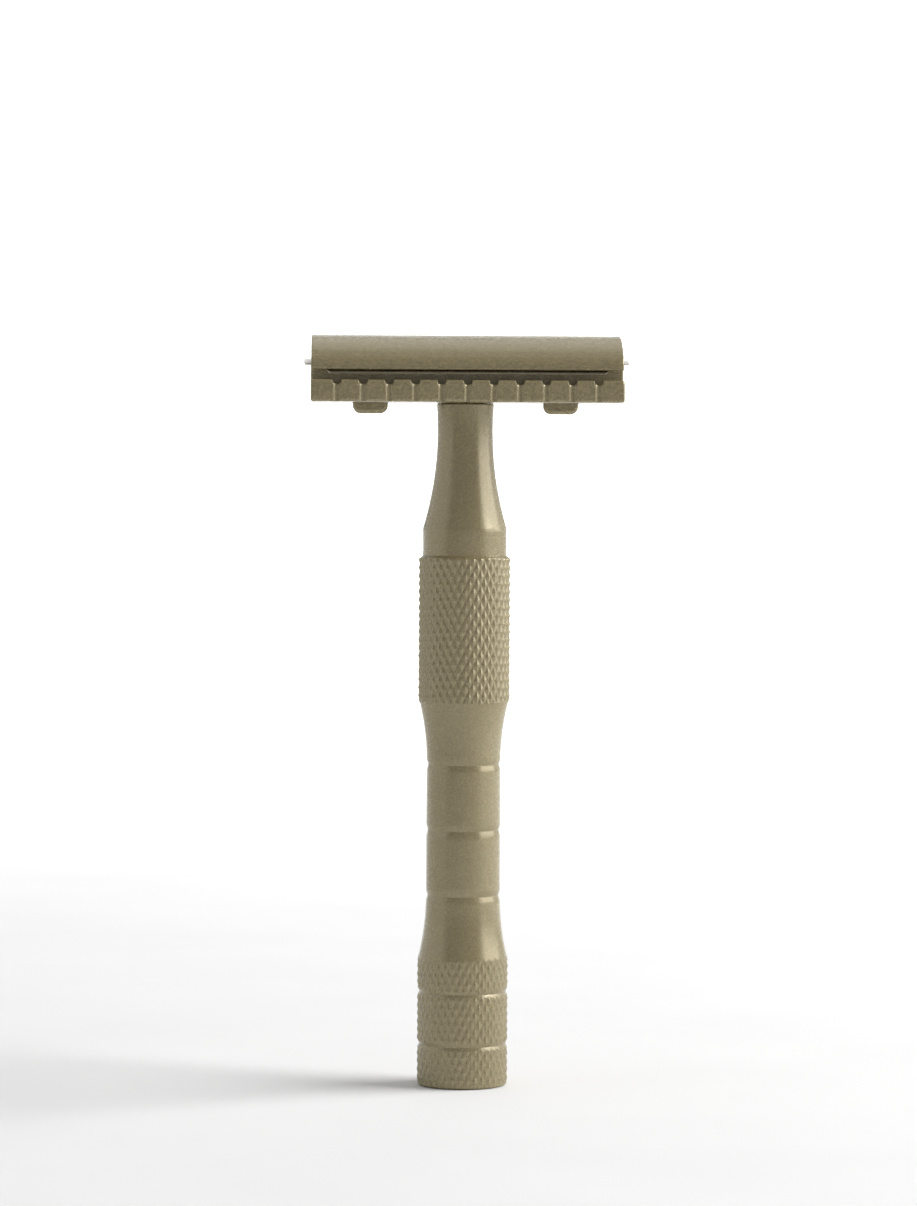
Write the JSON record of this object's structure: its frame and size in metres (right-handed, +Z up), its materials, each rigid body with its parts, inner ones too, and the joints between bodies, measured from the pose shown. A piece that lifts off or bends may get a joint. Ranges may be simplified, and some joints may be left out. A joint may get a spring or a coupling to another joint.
{
  "type": "safety razor",
  "caption": "Double-edge safety razor with a scalloped bar head, a clamped blade and a knurled, waisted handle that unscrews to release the blade.",
  "frame": {"origin": "centre of the handle's flat end, which the razor stands on", "axes": "+Z up the handle to the head, +X along the head and the blade's edges, -Y towards the front cutting edge"},
  "size_m": [0.043, 0.0226, 0.1002],
  "materials": {
    "coated_metal": "satin khaki coating with a fine grain",
    "stud_steel": "turned and threaded",
    "blade_steel": "ground and polished edges"
  },
  "bodies": {
    "handle_body": {"handle": "coated_metal", "handle_plug": "coated_metal"},
    "plate_body": {"base_plate": "coated_metal"},
    "cap_body": {"cap": "coated_metal", "cap_stud": "stud_steel"},
    "blade_body": {"blade": "blade_steel"}
  },
  "joints": [
    {"name": "handle_turn", "type": "hinge", "parent": "handle_body", "child": "plate_body", "pos_m": [0, 0, 0.0912], "axis": [0, 0, 1], "range_deg": [0, 7200]},
    {"name": "cap_lift", "type": "slide", "parent": "plate_body", "child": "cap_body", "axis": [0, 0, 1], "range_m": [0, 0.016]},
    {"name": "blade_lift", "type": "slide", "parent": "plate_body", "child": "blade_body", "axis": [0, 0, 1], "range_m": [0, 0.0025]}
  ],
  "couplings": [
    {"joint": "cap_lift", "follows": "handle_turn", "m_per_rad": 0.00012732},
    {"joint": "blade_lift", "follows": "handle_turn", "m_per_rad": 0.00001989}
  ]
}
